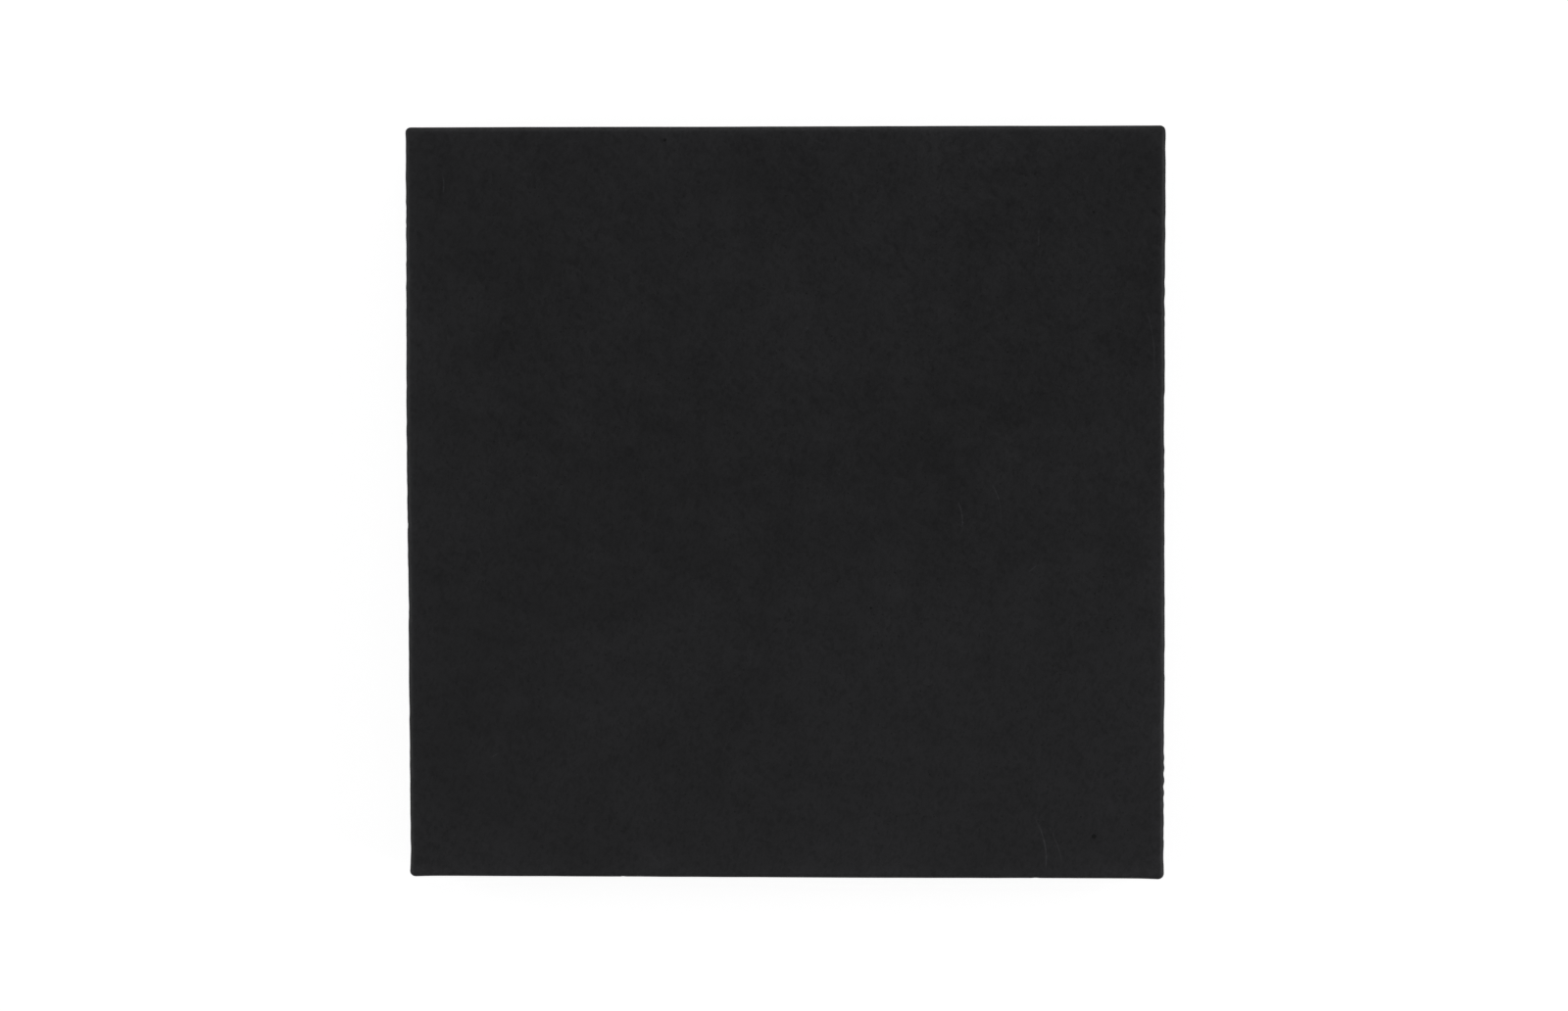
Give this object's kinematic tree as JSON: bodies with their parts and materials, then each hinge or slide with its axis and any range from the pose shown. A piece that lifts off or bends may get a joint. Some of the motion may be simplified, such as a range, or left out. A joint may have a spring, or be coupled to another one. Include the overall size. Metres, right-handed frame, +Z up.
{
  "type": "granite slab",
  "caption": "Square slab of honed black granite with eased edges on stick-on rubber feet, a hard work face for tooling leather.",
  "frame": {"origin": "on the bench under the middle of the slab, where the feet stand", "axes": "+Z up, normal to the work face; +X to the slab's right, along its longer side; +Y to its rear"},
  "size_m": [0.3048, 0.303, 0.0333],
  "materials": {
    "honed_granite": "honed, matt, with fine mottling",
    "foot_rubber": "moulded, matt"
  },
  "bodies": {
    "root": {"granite_slab": "honed_granite", "foot_front_left": "foot_rubber", "foot_front_right": "foot_rubber", "foot_rear_left": "foot_rubber", "foot_rear_right": "foot_rubber"}
  },
  "joints": []
}
